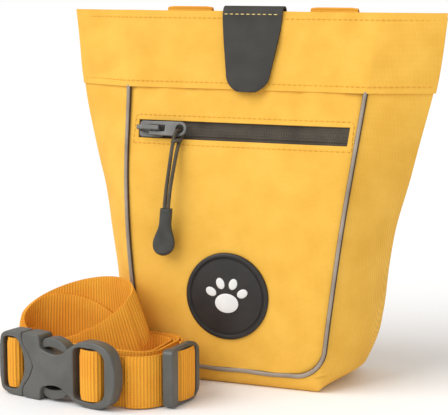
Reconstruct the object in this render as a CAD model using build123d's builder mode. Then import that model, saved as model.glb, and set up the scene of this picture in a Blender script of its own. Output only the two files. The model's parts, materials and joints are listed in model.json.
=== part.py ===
"""Treat pouch with a magnetic mouth, a zipped front pocket and a loose 25 mm waist belt.

Millimetres, +Z up. X runs across the pouch, -Y is its front, and the origin is the
centre of the flat base that the pouch stands on.
"""

from build123d import *

import os
from math import atan2, cos, pi, radians, sin, tan

os.makedirs("parts", exist_ok=True)

# ---------------------------------------------------------------- driving sizes
SEAM_HEIGHT = 150.0  # seam between the body of the pouch and its collar
FRONT_RIM = 188.6
BACK_RIM = 186.4
FABRIC = 1.2
BODY_GAP = 0.3  # clearance between pieces that move apart

# height, half width of the flat panels, half depth, half width at the side fold, roundness
BODY_STATIONS = [
    (0.0, 44.0, 25.0, 50.0, 0.72),
    (10.0, 49.0, 31.0, 61.0, 0.75),
    (30.0, 51.7, 33.0, 70.5, 0.75),
    (60.0, 55.4, 32.6, 75.0, 0.72),
    (85.0, 58.2, 30.2, 80.0, 0.66),
    (110.0, 60.8, 25.2, 86.7, 0.60),
    (SEAM_HEIGHT, 64.3, 14.0, 95.7, 0.57),
]
RIM_STATION = (FRONT_RIM, 68.2, 6.17, 100.5, 0.56)
FOLD_INSET = 1.6  # how much faster a lining moves in at the pointed side folds
PANEL_FOOT = 8.0  # lower edge of the front and back panels
PANEL_CORNER = 15.0
CORNER_TOP = PANEL_FOOT + PANEL_CORNER
HALF = 120.0  # larger than any half of the pouch

WEBBING_WIDTH = 25.0
WEBBING = 1.8

# ---------------------------------------------------------------- pouch shell


def section(station, inset):
    """Face at one height: flat front and back, folded sides, all moved inwards by inset."""
    height, panel, depth, fold, roundness = station
    panel, depth, fold = panel - inset, depth - inset, fold - FOLD_INSET * inset
    middle = panel + roundness * (fold - panel)
    with BuildSketch(Plane.XY.offset(height)) as face:
        with BuildLine():
            Line((-panel, -depth), (panel, -depth))
            ThreePointArc((panel, -depth), (middle, -depth / 2), (fold, 0))
            ThreePointArc((fold, 0), (middle, depth / 2), (panel, depth))
            Line((panel, depth), (-panel, depth))
            ThreePointArc((-panel, depth), (-middle, depth / 2), (-fold, 0))
            ThreePointArc((-fold, 0), (-middle, -depth / 2), (-panel, -depth))
        make_face()
    return face.sketch


def hull(stations, inset):
    """Solid through the stations with every wall moved inwards by inset."""
    with BuildPart() as solid:
        loft([section(station, inset) for station in stations], ruled=True)
    return solid.part


def layer(stations, outer, inner):
    """Shell between two insets of the same stations, with a floor when it has one."""
    with BuildPart() as skin:
        add(hull(lifted(stations, outer), outer))
        add(hull(lifted(stations, inner), inner), mode=Mode.SUBTRACT)
    return skin.part


def lifted(stations, inset):
    """The same stations, with a lowest one on the floor lifted by inset."""
    if stations[0][0] > 0:
        return stations
    return [(inset, *stations[0][1:]), *stations[1:]]


def panel_half_width(height):
    """Half width of the flat panels at a height between two stations."""
    for low, high in zip(BODY_STATIONS, BODY_STATIONS[1:]):
        if height <= high[0]:
            share = (height - low[0]) / (high[0] - low[0])
            return low[1] + share * (high[1] - low[1])
    return BODY_STATIONS[-1][1]


def panel_block(depth):
    """Block behind the panel outline, a trapezoid with round lower corners."""
    edge = [(panel_half_width(PANEL_FOOT), PANEL_FOOT)]
    edge += [(station[1], station[0]) for station in BODY_STATIONS if CORNER_TOP < station[0]]
    with BuildPart() as block:
        with BuildSketch(Plane.XZ):
            with BuildLine():
                Polyline(*edge, *[(-x, z) for x, z in reversed(edge)], close=True)
            make_face()
            fillet(vertices().group_by(Axis.Y)[0], radius=PANEL_CORNER)
        extrude(amount=depth)
    return block.part


def collar_stations(rim):
    """Seam and rim of one collar, the rim carried on to its own height."""
    seam = (SEAM_HEIGHT + BODY_GAP, *BODY_STATIONS[-1][1:])
    share = (rim - SEAM_HEIGHT) / (FRONT_RIM - SEAM_HEIGHT)
    top = [a + share * (b - a) for a, b in zip(BODY_STATIONS[-1], RIM_STATION)]
    return [seam, tuple(top)]


with BuildPart() as shell:
    add(layer(BODY_STATIONS, 0.0, FABRIC))

# The zip lies in the flat stretch of the front between the two highest stations.
LOW, HIGH = BODY_STATIONS[-2], BODY_STATIONS[-1]
LEAN = atan2(LOW[2] - HIGH[2], HIGH[0] - LOW[0])
ZIP_HEIGHT = 128.2
ZIP_DEPTH = LOW[2] - (ZIP_HEIGHT - LOW[0]) * tan(LEAN)
ZIP_PLANE = Plane(
    origin=(0, -ZIP_DEPTH, ZIP_HEIGHT), x_dir=(1, 0, 0), z_dir=(0, -cos(LEAN), sin(LEAN))
)
WINDOW_LEFT = -56.0
WINDOW_LENGTH = 113.5
WINDOW_HEIGHT = 9.5
WINDOW_MIDDLE = WINDOW_LEFT + WINDOW_LENGTH / 2

with BuildPart() as front_panel:
    add(shell.part)
    add(panel_block(HALF), mode=Mode.INTERSECT)
    with BuildSketch(ZIP_PLANE):
        with Locations((WINDOW_MIDDLE, 0)):
            RectangleRounded(WINDOW_LENGTH, WINDOW_HEIGHT, 1.0)
    extrude(amount=8, both=True, mode=Mode.SUBTRACT)

with BuildPart() as back_panel:
    add(shell.part)
    add(panel_block(-HALF), mode=Mode.INTERSECT)

with BuildPart() as gusset:
    add(shell.part)
    add([panel_block(HALF), panel_block(-HALF)], mode=Mode.SUBTRACT)

# ---------------------------------------------------------------- reflective piping
PIPING_RADIUS = 1.2
PIPING_PROUD = 0.4
BEND_RADIUS = 30.0

side_route = [
    (panel, -depth - PIPING_PROUD, height)
    for height, panel, depth, _, _ in BODY_STATIONS
    if CORNER_TOP < height
]
foot_route = (panel_half_width(PANEL_FOOT), -30.2 - PIPING_PROUD, PANEL_FOOT)
half_route = [*reversed(side_route), foot_route]
piping_route = [*half_route, *[(-x, y, z) for x, y, z in reversed(half_route)]]
bends = [BEND_RADIUS] * (len(side_route) - 1)
piping_radii = [*bends, PANEL_CORNER, PANEL_CORNER, *bends]

with BuildPart() as front_piping:
    with BuildLine() as piping_line:
        FilletPolyline(*piping_route, radius=piping_radii)
    with BuildSketch(Plane(origin=piping_line.line @ 0, z_dir=piping_line.line % 0)):
        Circle(PIPING_RADIUS)
    sweep()

# ---------------------------------------------------------------- collar, facings and magnets
COLLAR_PROUD = 0.5
COLLAR_INNER = 0.5
FACING_OUTER = 2.3
FACING_INNER = 3.1


def collar_layer(rim, outer, inner, side):
    """One layer of the collar on one side of the mouth, -1 in front and 1 behind."""
    with BuildPart() as half:
        add(layer(collar_stations(rim), outer, inner))
        with Locations((0, side * (HALF + BODY_GAP / 2), 0)):
            Box(2 * HALF, 2 * HALF, 4 * HALF, mode=Mode.INTERSECT)
    return half.part


with BuildPart() as front_collar:
    add(collar_layer(FRONT_RIM, -COLLAR_PROUD, COLLAR_INNER, -1))

with BuildPart() as front_facing:
    add(collar_layer(FRONT_RIM, FACING_OUTER, FACING_INNER, -1))

with BuildPart() as back_collar:
    add(collar_layer(BACK_RIM, -COLLAR_PROUD, COLLAR_INNER, 1))

with BuildPart() as back_facing:
    add(collar_layer(BACK_RIM, FACING_OUTER, FACING_INNER, 1))

COLLAR_LEAN = atan2(BODY_STATIONS[-1][2] - RIM_STATION[2], FRONT_RIM - SEAM_HEIGHT)
MAGNET_HEIGHT = 174.0
MAGNET_SIZE = (18.0, 9.0, 1.4)
MAGNET_SPACING = 90.0
magnet_depth = BODY_STATIONS[-1][2] - (MAGNET_HEIGHT - SEAM_HEIGHT) * tan(COLLAR_LEAN)


def magnets(side):
    """Two flat magnets between the layers of one collar."""
    middle = magnet_depth - (COLLAR_INNER + FACING_OUTER) / 2
    lean = Plane(
        origin=(0, side * middle, MAGNET_HEIGHT),
        x_dir=(1, 0, 0),
        z_dir=(0, side * cos(COLLAR_LEAN), sin(COLLAR_LEAN)),
    )
    with BuildPart() as pair:
        with BuildSketch(lean):
            with GridLocations(MAGNET_SPACING, 1, 2, 1):
                RectangleRounded(MAGNET_SIZE[0], MAGNET_SIZE[1], 1.5)
        extrude(amount=MAGNET_SIZE[2] / 2, both=True)
    return pair.part


with BuildPart() as front_magnets:
    add(magnets(-1))

with BuildPart() as back_magnets:
    add(magnets(1))

# ---------------------------------------------------------------- lining and pocket
POCKET_OUTER = 5.2
POCKET_INNER = 5.6
LINING_OUTER = 5.9
LINING_INNER = 6.5

with BuildPart() as inner_lining:
    add(layer(BODY_STATIONS, LINING_OUTER, LINING_INNER))

POCKET_FOOT = 46.0
POCKET_TOP = 144.0
POCKET_LIP = 112.0
POCKET_HALF_WIDTH = 53.0
POCKET_FABRIC = 0.5
POCKET_FRONT = 1.5


def front_block(half_width, foot, top):
    """Block over the front half of the pouch between two heights."""
    with BuildPart() as block:
        with BuildSketch(Plane.XZ):
            with Locations((0, (foot + top) / 2)):
                Rectangle(2 * half_width, top - foot)
        extrude(amount=HALF)
    return block.part


def pocket_layer(outer, inner, block):
    """Part of a shell of the pouch that lies in a block."""
    with BuildPart() as part_layer:
        add(layer(BODY_STATIONS, outer, inner))
        add(block, mode=Mode.INTERSECT)
    return part_layer.part


with BuildPart() as pocket_bag:
    add(pocket_layer(POCKET_FRONT, POCKET_INNER, front_block(POCKET_HALF_WIDTH, POCKET_FOOT, POCKET_TOP)))
    pocket_space = front_block(POCKET_HALF_WIDTH - POCKET_FABRIC, POCKET_FOOT + POCKET_FABRIC, 2 * HALF)
    add(pocket_layer(POCKET_FRONT + POCKET_FABRIC, POCKET_OUTER, pocket_space), mode=Mode.SUBTRACT)
    above_lip = front_block(HALF, POCKET_LIP, 2 * HALF)
    add(pocket_layer(0.5, POCKET_OUTER, above_lip), mode=Mode.SUBTRACT)

# ---------------------------------------------------------------- zip
TAPE_FACE = -1.4
TAPE = 0.6
TAPE_EDGE = 0.6  # from the middle of the chain to the edge of each tape
TAPE_WIDTH = 13.4
TAPE_LENGTH = 117.0
COIL_WIDTH = 2.8
COIL = 1.6


def zip_strip(side, width, length, front, back):
    """A strip along one side of the chain, between two depths of the zip plane."""
    with BuildPart() as strip:
        with BuildSketch(ZIP_PLANE.offset(back)):
            with Locations((WINDOW_MIDDLE, side * (TAPE_EDGE + width / 2))):
                Rectangle(length, width)
        extrude(amount=front - back)
    return strip.part


with BuildPart() as zip_tape_upper:
    add(zip_strip(1, TAPE_WIDTH, TAPE_LENGTH, TAPE_FACE, TAPE_FACE - TAPE))

with BuildPart() as zip_tape_lower:
    add(zip_strip(-1, TAPE_WIDTH, TAPE_LENGTH, TAPE_FACE, TAPE_FACE - TAPE))

COIL_FACE = TAPE_FACE - TAPE
COIL_BACK = COIL_FACE - COIL

with BuildPart() as zip_coil_upper:
    add(zip_strip(1, COIL_WIDTH, WINDOW_LENGTH, COIL_FACE, COIL_BACK))

with BuildPart() as zip_coil_lower:
    add(zip_strip(-1, COIL_WIDTH, WINDOW_LENGTH, COIL_FACE, COIL_BACK))

STOP_LENGTH = 2.0
STOP_HEIGHT = 8.0

with BuildPart() as zip_end_stops:
    with BuildSketch(ZIP_PLANE.offset(COIL_BACK)):
        with Locations((WINDOW_MIDDLE, 0)):
            with GridLocations(WINDOW_LENGTH + STOP_LENGTH + 1, 1, 2, 1):
                Rectangle(STOP_LENGTH, STOP_HEIGHT)
    extrude(amount=COIL)

# slider: plates in front of and behind the chain, joined by a neck between the coils
SLIDER_LEFT = WINDOW_LEFT + 0.7
SLIDER_LENGTH = 13.6
SLIDER_HEIGHT = 8.6
SLIDER_MIDDLE = SLIDER_LEFT + SLIDER_LENGTH / 2
PLATE_BACK = TAPE_FACE + BODY_GAP
PLATE_FRONT = 0.5
BACK_PLATE = 0.8
BACK_PLATE_FACE = COIL_BACK - BODY_GAP
FLANGE_INNER = TAPE_EDGE + COIL_WIDTH + BODY_GAP
FLANGE_OUTER = 4.6
BRIDGE_LENGTH = 12.4
BRIDGE_HALF_WIDTH = 1.2
BRIDGE_UNDER = 4.8
BRIDGE_TOP = 5.9
POST = 1.5
PIN_X = -47.0
PIN_HEIGHT = 3.3
PIN_RADIUS = 0.7

with BuildPart() as zip_slider_body:
    with BuildSketch(ZIP_PLANE.offset(PLATE_BACK)):
        with Locations((SLIDER_MIDDLE, 0)):
            RectangleRounded(SLIDER_LENGTH, SLIDER_HEIGHT, 2.0)
    extrude(amount=PLATE_FRONT - PLATE_BACK)
    with BuildSketch(ZIP_PLANE.offset(BACK_PLATE_FACE)):
        with Locations((SLIDER_MIDDLE, 0)):
            RectangleRounded(SLIDER_LENGTH, 2 * FLANGE_OUTER, 0.8)
    extrude(amount=-BACK_PLATE)
    with BuildSketch(ZIP_PLANE.offset(BACK_PLATE_FACE)):
        with Locations((SLIDER_MIDDLE, 0)):
            Rectangle(6.0, 2 * (TAPE_EDGE - BODY_GAP))
    extrude(amount=PLATE_BACK - BACK_PLATE_FACE)
    with BuildSketch(ZIP_PLANE.offset(BACK_PLATE_FACE)):
        with Locations((SLIDER_MIDDLE, 0)):
            with GridLocations(1, FLANGE_INNER + FLANGE_OUTER, 1, 2):
                Rectangle(SLIDER_LENGTH - 2, FLANGE_OUTER - FLANGE_INNER)
    extrude(amount=COIL)
    with BuildSketch(ZIP_PLANE.offset(PLATE_FRONT)):
        with Locations((SLIDER_MIDDLE, 0)):
            with GridLocations(BRIDGE_LENGTH - POST, 1, 2, 1):
                Rectangle(POST, 2 * BRIDGE_HALF_WIDTH)
    extrude(amount=BRIDGE_TOP - PLATE_FRONT)
    with BuildSketch(ZIP_PLANE.offset(BRIDGE_UNDER)):
        with Locations((SLIDER_MIDDLE, 0)):
            Rectangle(BRIDGE_LENGTH, 2 * BRIDGE_HALF_WIDTH)
    extrude(amount=BRIDGE_TOP - BRIDGE_UNDER)

# pull tab: a cross pin under the bridge, two arms and an eye for the cord
TAB = 1.6
TAB_BACK = PIN_HEIGHT - TAB / 2
ARM_INNER = BRIDGE_HALF_WIDTH + 0.4
ARM_OUTER = 3.6
FORK_DEPTH = 7.4
EYE_X = -31.2
EYE_RADIUS = 2.2
EYE_RIM = 3.8

with BuildPart() as zip_pull_tab:
    with BuildSketch(ZIP_PLANE.offset(TAB_BACK)):
        with Locations((PIN_X, 0)):
            with GridLocations(1, ARM_INNER + ARM_OUTER, 1, 2):
                Rectangle(2.4, ARM_OUTER - ARM_INNER)
        with BuildLine():
            Polyline(
                (PIN_X, -ARM_OUTER),
                (EYE_X, -EYE_RIM),
                (EYE_X, EYE_RIM),
                (PIN_X, ARM_OUTER),
                close=True,
            )
        make_face()
        with Locations((EYE_X, 0)):
            Circle(EYE_RIM)
            Circle(EYE_RADIUS, mode=Mode.SUBTRACT)
        with Locations((PIN_X + FORK_DEPTH / 2 - 2, 0)):
            Rectangle(FORK_DEPTH + 4, 2 * ARM_INNER, mode=Mode.SUBTRACT)
    extrude(amount=TAB)
    pin_plane = Plane(
        origin=ZIP_PLANE.from_local_coords((PIN_X, -ARM_OUTER, PIN_HEIGHT)),
        x_dir=(1, 0, 0),
        z_dir=ZIP_PLANE.y_dir,
    )
    with BuildSketch(pin_plane):
        Circle(PIN_RADIUS)
    extrude(amount=2 * ARM_OUTER)

# ---------------------------------------------------------------- pull cord and grip
CORD_DIAMETER = 1.9
GRIP_X = -33.6
GRIP_TOP = 90.2
GRIP_LENGTH = 24.4
GRIP_DEPTH = -37.7  # far enough out to pass in front of the badge
GRIP_THICKNESS = 4.4
STRAND = 1.05  # each strand's distance from the middle of the grip


def on_zip(x, up, out):
    """World point from a place on the zip plane."""
    return ZIP_PLANE.from_local_coords((x, up, out))


cord_route = [
    Vector(GRIP_X - STRAND, GRIP_DEPTH, GRIP_TOP),
    Vector(GRIP_X - STRAND - 0.3, -36.6, 98),
    Vector(GRIP_X - STRAND - 0.2, -32.4, 109),
    on_zip(EYE_X - 2.4, -8.0, 5.4),
    on_zip(EYE_X - 1.1, -0.8, 6.1),
    on_zip(EYE_X + 0.2, -0.8, 1.1),
    on_zip(EYE_X + 0.6, -4.4, 1.3),
    on_zip(EYE_X - 0.1, -7.8, 3.5),
    Vector(GRIP_X + STRAND + 0.1, -32.2, 109),
    Vector(GRIP_X + STRAND - 0.1, -36.6, 98),
    Vector(GRIP_X + STRAND, GRIP_DEPTH, GRIP_TOP),
]


def route_radii(route, share=0.45):
    """One fillet radius for each corner, as large as its two runs allow."""
    radii = []
    for before, corner, after in zip(route, route[1:], route[2:]):
        first, second = corner - before, after - corner
        half_turn = radians(first.get_angle(second)) / 2
        radii.append(share * min(first.length, second.length) / tan(half_turn))
    return radii


cord_radii = route_radii(cord_route)
print("cord radii", [round(radius, 1) for radius in cord_radii])

with BuildPart() as pull_cord:
    with BuildLine() as cord_line:
        FilletPolyline(*cord_route, radius=cord_radii)
    with BuildSketch(Plane(origin=cord_line.line @ 0, z_dir=cord_line.line % 0)):
        Circle(CORD_DIAMETER / 2)
    sweep()
cord_length = sum(edge.length for edge in cord_line.line.edges())
tube_volume = pi * (CORD_DIAMETER / 2) ** 2 * cord_length
print("cord length", round(cord_length, 1), "volume ratio", round(pull_cord.part.volume / tube_volume, 3))

NECK_HALF_WIDTH = 3.15
BULB_HALF_WIDTH = 5.95
NECK_LENGTH = 8.7

with BuildPart() as pull_grip:
    with BuildSketch(Plane.XZ.offset(-GRIP_DEPTH - GRIP_THICKNESS / 2)):
        with Locations((GRIP_X, GRIP_TOP - GRIP_LENGTH + BULB_HALF_WIDTH)):
            Circle(BULB_HALF_WIDTH)
        with BuildLine():
            Polyline(
                (GRIP_X - NECK_HALF_WIDTH, GRIP_TOP),
                (GRIP_X - NECK_HALF_WIDTH, GRIP_TOP - NECK_LENGTH),
                (GRIP_X - BULB_HALF_WIDTH, GRIP_TOP - GRIP_LENGTH + BULB_HALF_WIDTH),
                (GRIP_X + BULB_HALF_WIDTH, GRIP_TOP - GRIP_LENGTH + BULB_HALF_WIDTH),
                (GRIP_X + NECK_HALF_WIDTH, GRIP_TOP - NECK_LENGTH),
                (GRIP_X + NECK_HALF_WIDTH, GRIP_TOP),
                close=True,
            )
        make_face()
    extrude(amount=GRIP_THICKNESS)
    fillet(faces().filter_by(Axis.Y).edges(), radius=1.2)

# ---------------------------------------------------------------- opening tab on the front rim
TAB_MIDDLE = 2.6
TAB_WIDTH = 32.0
TAB_FOOT_WIDTH = 19.0
TAB_TOP = 191.0
TAB_FOOT = 148.6
TAB_RUBBER = 1.2
HINGE_DEPTH = -8.5
HINGE_HEIGHT = 184.7

with BuildPart() as tab_saddle:
    with BuildSketch(Plane.YZ.offset(TAB_MIDDLE)):
        with BuildLine():
            Polyline((HINGE_DEPTH, HINGE_HEIGHT + 2), (HINGE_DEPTH, TAB_TOP - 0.6), (-2.3, TAB_TOP - 0.6), (-2.3, 178))
            offset(amount=TAB_RUBBER / 2)
        make_face()
    extrude(amount=TAB_WIDTH / 2, both=True)

with BuildPart() as opening_tab:
    with BuildSketch(Plane.XZ):
        with BuildLine():
            Polyline(
                (TAB_MIDDLE - TAB_WIDTH / 2, HINGE_HEIGHT - 0.2),
                (TAB_MIDDLE - TAB_FOOT_WIDTH / 2, TAB_FOOT),
                (TAB_MIDDLE + TAB_FOOT_WIDTH / 2, TAB_FOOT),
                (TAB_MIDDLE + TAB_WIDTH / 2, HINGE_HEIGHT - 0.2),
                close=True,
            )
        make_face()
        fillet(vertices().group_by(Axis.Y)[0], radius=8)
    extrude(amount=40)
    with BuildSketch(Plane.YZ):
        with BuildLine():
            Polyline(
                (-7.9, HINGE_HEIGHT),
                (-17.0, TAB_FOOT - 1),
                (-17.0 - TAB_RUBBER, TAB_FOOT - 1),
                (-7.9 - TAB_RUBBER, HINGE_HEIGHT),
                close=True,
            )
        make_face()
    extrude(amount=40, both=True, mode=Mode.INTERSECT)

# ---------------------------------------------------------------- badge
BADGE_X = -1.0
BADGE_HEIGHT = 46.6
BADGE_RADIUS = 22.25
BADGE_FACE = 33.05  # distance of the badge's back from the middle of the pouch
BADGE = 1.8
GROOVE_RADIUS = 19.4
badge_plane = Plane.XZ.offset(BADGE_FACE)

with BuildPart() as badge_base:
    with BuildSketch(badge_plane):
        with Locations((BADGE_X, BADGE_HEIGHT)):
            Circle(BADGE_RADIUS)
    extrude(amount=BADGE)
    fillet(faces().sort_by(Axis.Y)[0].edges(), radius=0.6)
    with BuildSketch(badge_plane.offset(BADGE)):
        with Locations((BADGE_X, BADGE_HEIGHT)):
            Circle(GROOVE_RADIUS + 0.4)
            Circle(GROOVE_RADIUS - 0.4, mode=Mode.SUBTRACT)
    extrude(amount=-0.5, mode=Mode.SUBTRACT)

EMBLEM = 0.6
TOE_CIRCLE = 9.6
TOE_ANGLES = (152, 111, 69, 28)

with BuildPart() as badge_emblem:
    with BuildSketch(badge_plane.offset(BADGE)):
        with Locations((BADGE_X, BADGE_HEIGHT - 3.5)):
            Ellipse(6.4, 5.0)
        for angle in TOE_ANGLES:
            toe = (
                BADGE_X + TOE_CIRCLE * cos(radians(angle)),
                BADGE_HEIGHT - 2.5 + TOE_CIRCLE * sin(radians(angle)),
            )
            with Locations(Location(toe, angle - 90)):
                Ellipse(2.2, 3.0)
    extrude(amount=EMBLEM)

# ---------------------------------------------------------------- belt loops on the back
LOOP_OFFSET = 39.8
LOOP_HALF_THICKNESS = 0.8
LOOP_ROUTE = [
    (11.2, 171),
    (8.6, 184),
    (10.8, 189.6),
    (15.2, 181),
    (28.2, 130),
    (28.9, 117),
    (26.9, 107),
    (29.1, 96),
]


def back_loop(x):
    """A webbing strap sewn to the collar and the back panel, standing off between them."""
    with BuildPart() as strap:
        with BuildSketch(Plane.YZ.offset(x)):
            with BuildLine():
                FilletPolyline(*LOOP_ROUTE, radius=2.0)
                offset(amount=LOOP_HALF_THICKNESS)
            make_face()
        extrude(amount=WEBBING_WIDTH / 2, both=True)
    return strap.part


with BuildPart() as belt_loop_left:
    add(back_loop(-LOOP_OFFSET))

with BuildPart() as belt_loop_right:
    add(back_loop(LOOP_OFFSET))

# ---------------------------------------------------------------- coiled waist belt
COIL_OUTER = [(-95, -59, 17.6), (-32, -70.5, 14), (-32.5, -52, 14.5), (-94.5, -50.5, 17.9)]
COIL_INNER = [(-95.5, -58.5, 14.6), (-38, -68, 8.5), (-42, -52, 9), (-94, -50.5, 15.4)]


def stretched_outline(circles):
    """Face inside a band stretched round the circles."""
    with BuildSketch() as face:
        for x, y, radius in circles:
            with Locations((x, y)):
                Circle(radius)
        make_hull()
    return face.sketch


with BuildPart() as webbing_coil:
    with BuildSketch():
        add(stretched_outline(COIL_OUTER))
        add(stretched_outline(COIL_INNER), mode=Mode.SUBTRACT)
    extrude(amount=WEBBING_WIDTH)

TURN_MIDDLE = (-76.5, -52.5, 40.8)
TURN_HALF_LENGTH = 30.0
TURN_HALF_WIDTH = 15.5
TURN_THICKNESS = 3.0
TURN_NORMAL = (-0.23, -0.63, 1.0)

with BuildPart() as webbing_top_turn:
    with BuildSketch():
        with Locations(Location(TURN_MIDDLE, -5)):
            Ellipse(TURN_HALF_LENGTH + TURN_THICKNESS / 2, TURN_HALF_WIDTH + TURN_THICKNESS / 2)
            Ellipse(
                TURN_HALF_LENGTH - TURN_THICKNESS / 2,
                TURN_HALF_WIDTH - TURN_THICKNESS / 2,
                mode=Mode.SUBTRACT,
            )
    extrude(amount=80)
    split(bisect_by=Plane(origin=TURN_MIDDLE, z_dir=TURN_NORMAL), keep=Keep.BOTTOM)
    low_middle = (TURN_MIDDLE[0], TURN_MIDDLE[1], TURN_MIDDLE[2] - WEBBING_WIDTH)
    split(bisect_by=Plane(origin=low_middle, z_dir=TURN_NORMAL), keep=Keep.TOP)

# ---------------------------------------------------------------- side release buckle
BUCKLE_MIDDLE = (-66.0, -90.0)
BUCKLE_TURN = -11.3
BUCKLE_HALF_HEIGHT = 16.5
BUCKLE_HALF_DEPTH = 6.0
CAVITY_HALF_DEPTH = 3.8
ARM_HALF_DEPTH = 3.4
buckle_plane = Plane(
    origin=(*BUCKLE_MIDDLE, BUCKLE_HALF_HEIGHT),
    x_dir=(cos(radians(BUCKLE_TURN)), sin(radians(BUCKLE_TURN)), 0),
    z_dir=(sin(radians(BUCKLE_TURN)), -cos(radians(BUCKLE_TURN)), 0),
)
FEMALE_WINDOW = (11.5, 29.0)
FEMALE_BAR = (15.5, 24.5)
MALE_BAR = (-30.2, -24.8)
FEMALE_OUTLINE = [
    (-13.5, 0.6),
    (-20.6, 12),
    (-20.0, 16.5),
    (-9.0, 16.5),
    (-8.6, 9.5),
    (0, 7.4),
    (7.5, 10.5),
    (13, 16.5),
    (28, 16.5),
    (35.7, 9.0),
]
MALE_OUTLINE = [(-13.9, 0.6), (-21.0, 12), (-20.4, 16.5), (-31.5, 16.5), (-35.7, 12.5)]
WRAP_GAP = 0.1
WINDOW_HALF_HEIGHT = 13.0
MALE_WINDOW = [(-33.2, WINDOW_HALF_HEIGHT), (-23, WINDOW_HALF_HEIGHT), (-18.8, 3)]
BAR_HALF_DEPTH = 2.2


def mirrored_face(points):
    """Face from the upper half of an outline that is the same below."""
    with BuildSketch() as face:
        with BuildLine():
            Polyline(*points, *[(x, -y) for x, y in reversed(points)], close=True)
        make_face()
    return face.sketch


def cross_bar(plane, span, half_depth, height):
    """Upright bar between two places along a plane, as thick each way as half_depth."""
    with BuildPart() as bar:
        with BuildSketch(plane):
            with Locations(((span[0] + span[1]) / 2, 0)):
                Rectangle(span[1] - span[0], height)
        extrude(amount=half_depth, both=True)
    return bar.part


def wrapped_webbing(plane, span, half_depth):
    """Webbing folded round a cross bar: a flat tube with the bar inside."""
    near = (span[0] - WRAP_GAP, span[1] + WRAP_GAP)
    far = (near[0] - WEBBING, near[1] + WEBBING)
    inside = half_depth + WRAP_GAP
    with BuildPart() as wrap:
        add(cross_bar(plane, far, inside + WEBBING, WEBBING_WIDTH))
        add(cross_bar(plane, near, inside, WEBBING_WIDTH), mode=Mode.SUBTRACT)
    return wrap.part


with BuildPart() as buckle_female:
    with BuildSketch(buckle_plane):
        add(mirrored_face(FEMALE_OUTLINE))
        fillet(vertices().filter_by_position(Axis.X, 26, 36), radius=6)
    extrude(amount=BUCKLE_HALF_DEPTH, both=True)
    with BuildSketch(buckle_plane):
        with Locations((-8, 0)):
            Rectangle(34, 26.6)
    extrude(amount=CAVITY_HALF_DEPTH, both=True, mode=Mode.SUBTRACT)
    with BuildSketch(buckle_plane):
        with Locations((sum(FEMALE_WINDOW) / 2, 0)):
            Rectangle(FEMALE_WINDOW[1] - FEMALE_WINDOW[0], 2 * WINDOW_HALF_HEIGHT)
    extrude(amount=BUCKLE_HALF_DEPTH, both=True, mode=Mode.SUBTRACT)
    add(cross_bar(buckle_plane, FEMALE_BAR, BAR_HALF_DEPTH, 2 * WINDOW_HALF_HEIGHT + 1))

with BuildPart() as buckle_male:
    with BuildSketch(buckle_plane):
        add(mirrored_face(MALE_OUTLINE))
        fillet(vertices().filter_by_position(Axis.X, -36, -27), radius=3)
        add(mirrored_face(MALE_WINDOW), mode=Mode.SUBTRACT)
    extrude(amount=BUCKLE_HALF_DEPTH, both=True)
    add(cross_bar(buckle_plane, MALE_BAR, BAR_HALF_DEPTH, 2 * WINDOW_HALF_HEIGHT + 1))
    with BuildSketch(buckle_plane):
        with Locations((-5, 0)):
            RectangleRounded(22, 4, 1.5)
    extrude(amount=ARM_HALF_DEPTH, both=True)

ARM_OUTLINE = [
    (-18.0, 8.0),
    (-18.8, 10.8),
    (-9.2, 11.6),
    (-8.2, 12.6),
    (-8.0, 15.6),
    (2.0, 15.6),
    (8.0, 9.8),
    (7.0, 7.6),
    (-2.0, 10.8),
    (-8.0, 9.0),
]


def latch_arm(side):
    """Springy latch arm whose head fills the side window of the female half."""
    with BuildPart() as arm:
        with BuildSketch(buckle_plane):
            with BuildLine():
                Polyline(*[(x, side * y) for x, y in ARM_OUTLINE], close=True)
            make_face()
        extrude(amount=ARM_HALF_DEPTH, both=True)
    return arm.part


with BuildPart() as buckle_arm_upper:
    add(latch_arm(1))

with BuildPart() as buckle_arm_lower:
    add(latch_arm(-1))

with BuildPart() as webbing_wrap_female:
    add(wrapped_webbing(buckle_plane, FEMALE_BAR, BAR_HALF_DEPTH))

with BuildPart() as webbing_wrap_male:
    add(wrapped_webbing(buckle_plane, MALE_BAR, BAR_HALF_DEPTH))

# ---------------------------------------------------------------- adjuster strap and tri-glide
STRAP_ROUTE = [(-36, -88.2), (-28, -88.4), (-19.6, -82.3), (-15.3, -70), (-14.4, -56)]

with BuildPart() as adjuster_strap:
    with BuildSketch():
        with BuildLine():
            FilletPolyline(*STRAP_ROUTE, radius=[12, 12, 20])
            offset(amount=WEBBING / 2)
        make_face()
    extrude(amount=WEBBING_WIDTH)

GLIDE_MIDDLE = (-9.9, -70.0)
GLIDE_TURN = 83.0
GLIDE_LENGTH = 28.0
GLIDE_HALF_HEIGHT = 14.75
GLIDE_HALF_DEPTH = 1.9
glide_plane = Plane(
    origin=(*GLIDE_MIDDLE, GLIDE_HALF_HEIGHT),
    x_dir=(cos(radians(GLIDE_TURN)), sin(radians(GLIDE_TURN)), 0),
    z_dir=(sin(radians(GLIDE_TURN)), -cos(radians(GLIDE_TURN)), 0),
)
GLIDE_WINDOW = (-5.5, 11.0)
GLIDE_BAR = (0.8, 4.8)
GLIDE_BAR_HALF_DEPTH = 0.9

with BuildPart() as tri_glide:
    with BuildSketch(glide_plane):
        RectangleRounded(GLIDE_LENGTH, 2 * GLIDE_HALF_HEIGHT, 3)
        with Locations((sum(GLIDE_WINDOW) / 2, 0)):
            Rectangle(GLIDE_WINDOW[1] - GLIDE_WINDOW[0], 25.8, mode=Mode.SUBTRACT)
    extrude(amount=GLIDE_HALF_DEPTH, both=True)
    add(cross_bar(glide_plane, GLIDE_BAR, GLIDE_BAR_HALF_DEPTH, 27))

with BuildPart() as webbing_tail:
    add(wrapped_webbing(glide_plane, GLIDE_BAR, GLIDE_BAR_HALF_DEPTH))

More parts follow.
